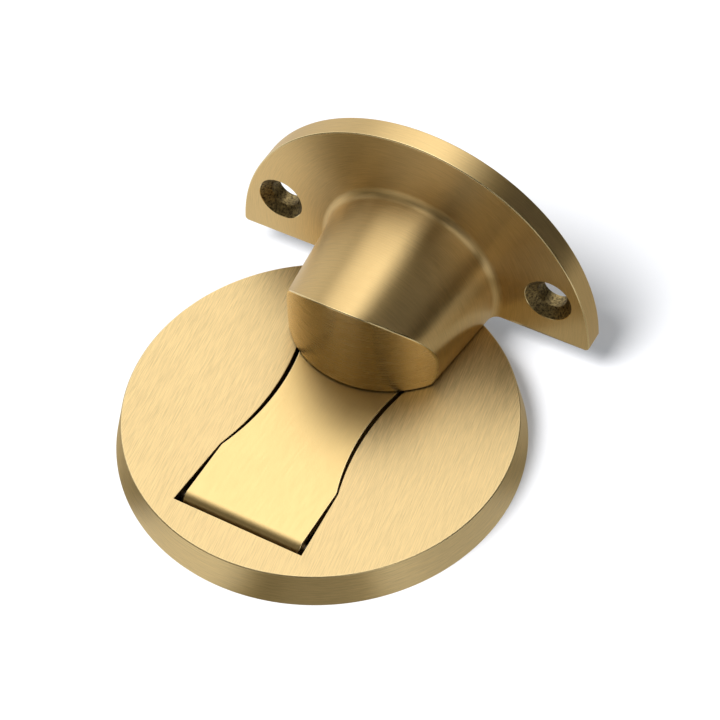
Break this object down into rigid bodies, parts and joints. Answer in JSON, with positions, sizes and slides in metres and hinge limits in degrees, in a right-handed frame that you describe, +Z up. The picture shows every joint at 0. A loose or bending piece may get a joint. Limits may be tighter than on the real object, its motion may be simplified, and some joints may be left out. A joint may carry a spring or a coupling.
{
  "type": "magnetic door stop",
  "caption": "Magnetic door stop: a low round floor disc with a hinged tongue in a waisted pocket, and a half disc door plate with a round boss that holds a magnet.",
  "frame": {"origin": "the middle of the floor piece's underside, on the floor", "axes": "+Z up, +Y from the tongue's hinge towards the door, +X along the door plate's straight edge"},
  "size_m": [0.048, 0.0492, 0.027],
  "materials": {
    "disc_brass": "satin, brushed in straight lines on the top and turned round the side",
    "tongue_plated_steel": "brass plated magnetic steel, satin",
    "pin_steel": "drawn steel wire",
    "base_steel": "zinc plated sheet",
    "pad_foam": "dense self adhesive foam",
    "bracket_brass": "satin, brushed round the boss and across the plate",
    "magnet_nickel": "nickel plated"
  },
  "bodies": {
    "floor_unit": {"floor_disc": "disc_brass", "base_plate": "base_steel", "adhesive_pad": "pad_foam", "hinge_pin": "pin_steel"},
    "tongue": {"tongue": "tongue_plated_steel"},
    "door_piece": {"door_bracket": "bracket_brass", "magnet": "magnet_nickel"}
  },
  "joints": [
    {"name": "tongue_hinge", "type": "hinge", "parent": "floor_unit", "child": "tongue", "pos_m": [0, -0.01664, 0.00229], "axis": [1, 0, 0], "range_deg": [0, 90]},
    {"name": "door_lift", "type": "slide", "parent": "floor_unit", "child": "door_piece", "axis": [0, 0, 1], "range_m": [0, 0.063]}
  ],
  "couplings": [
    {"joint": "tongue_hinge", "follows": "door_lift", "rad_per_m": 24.93}
  ]
}
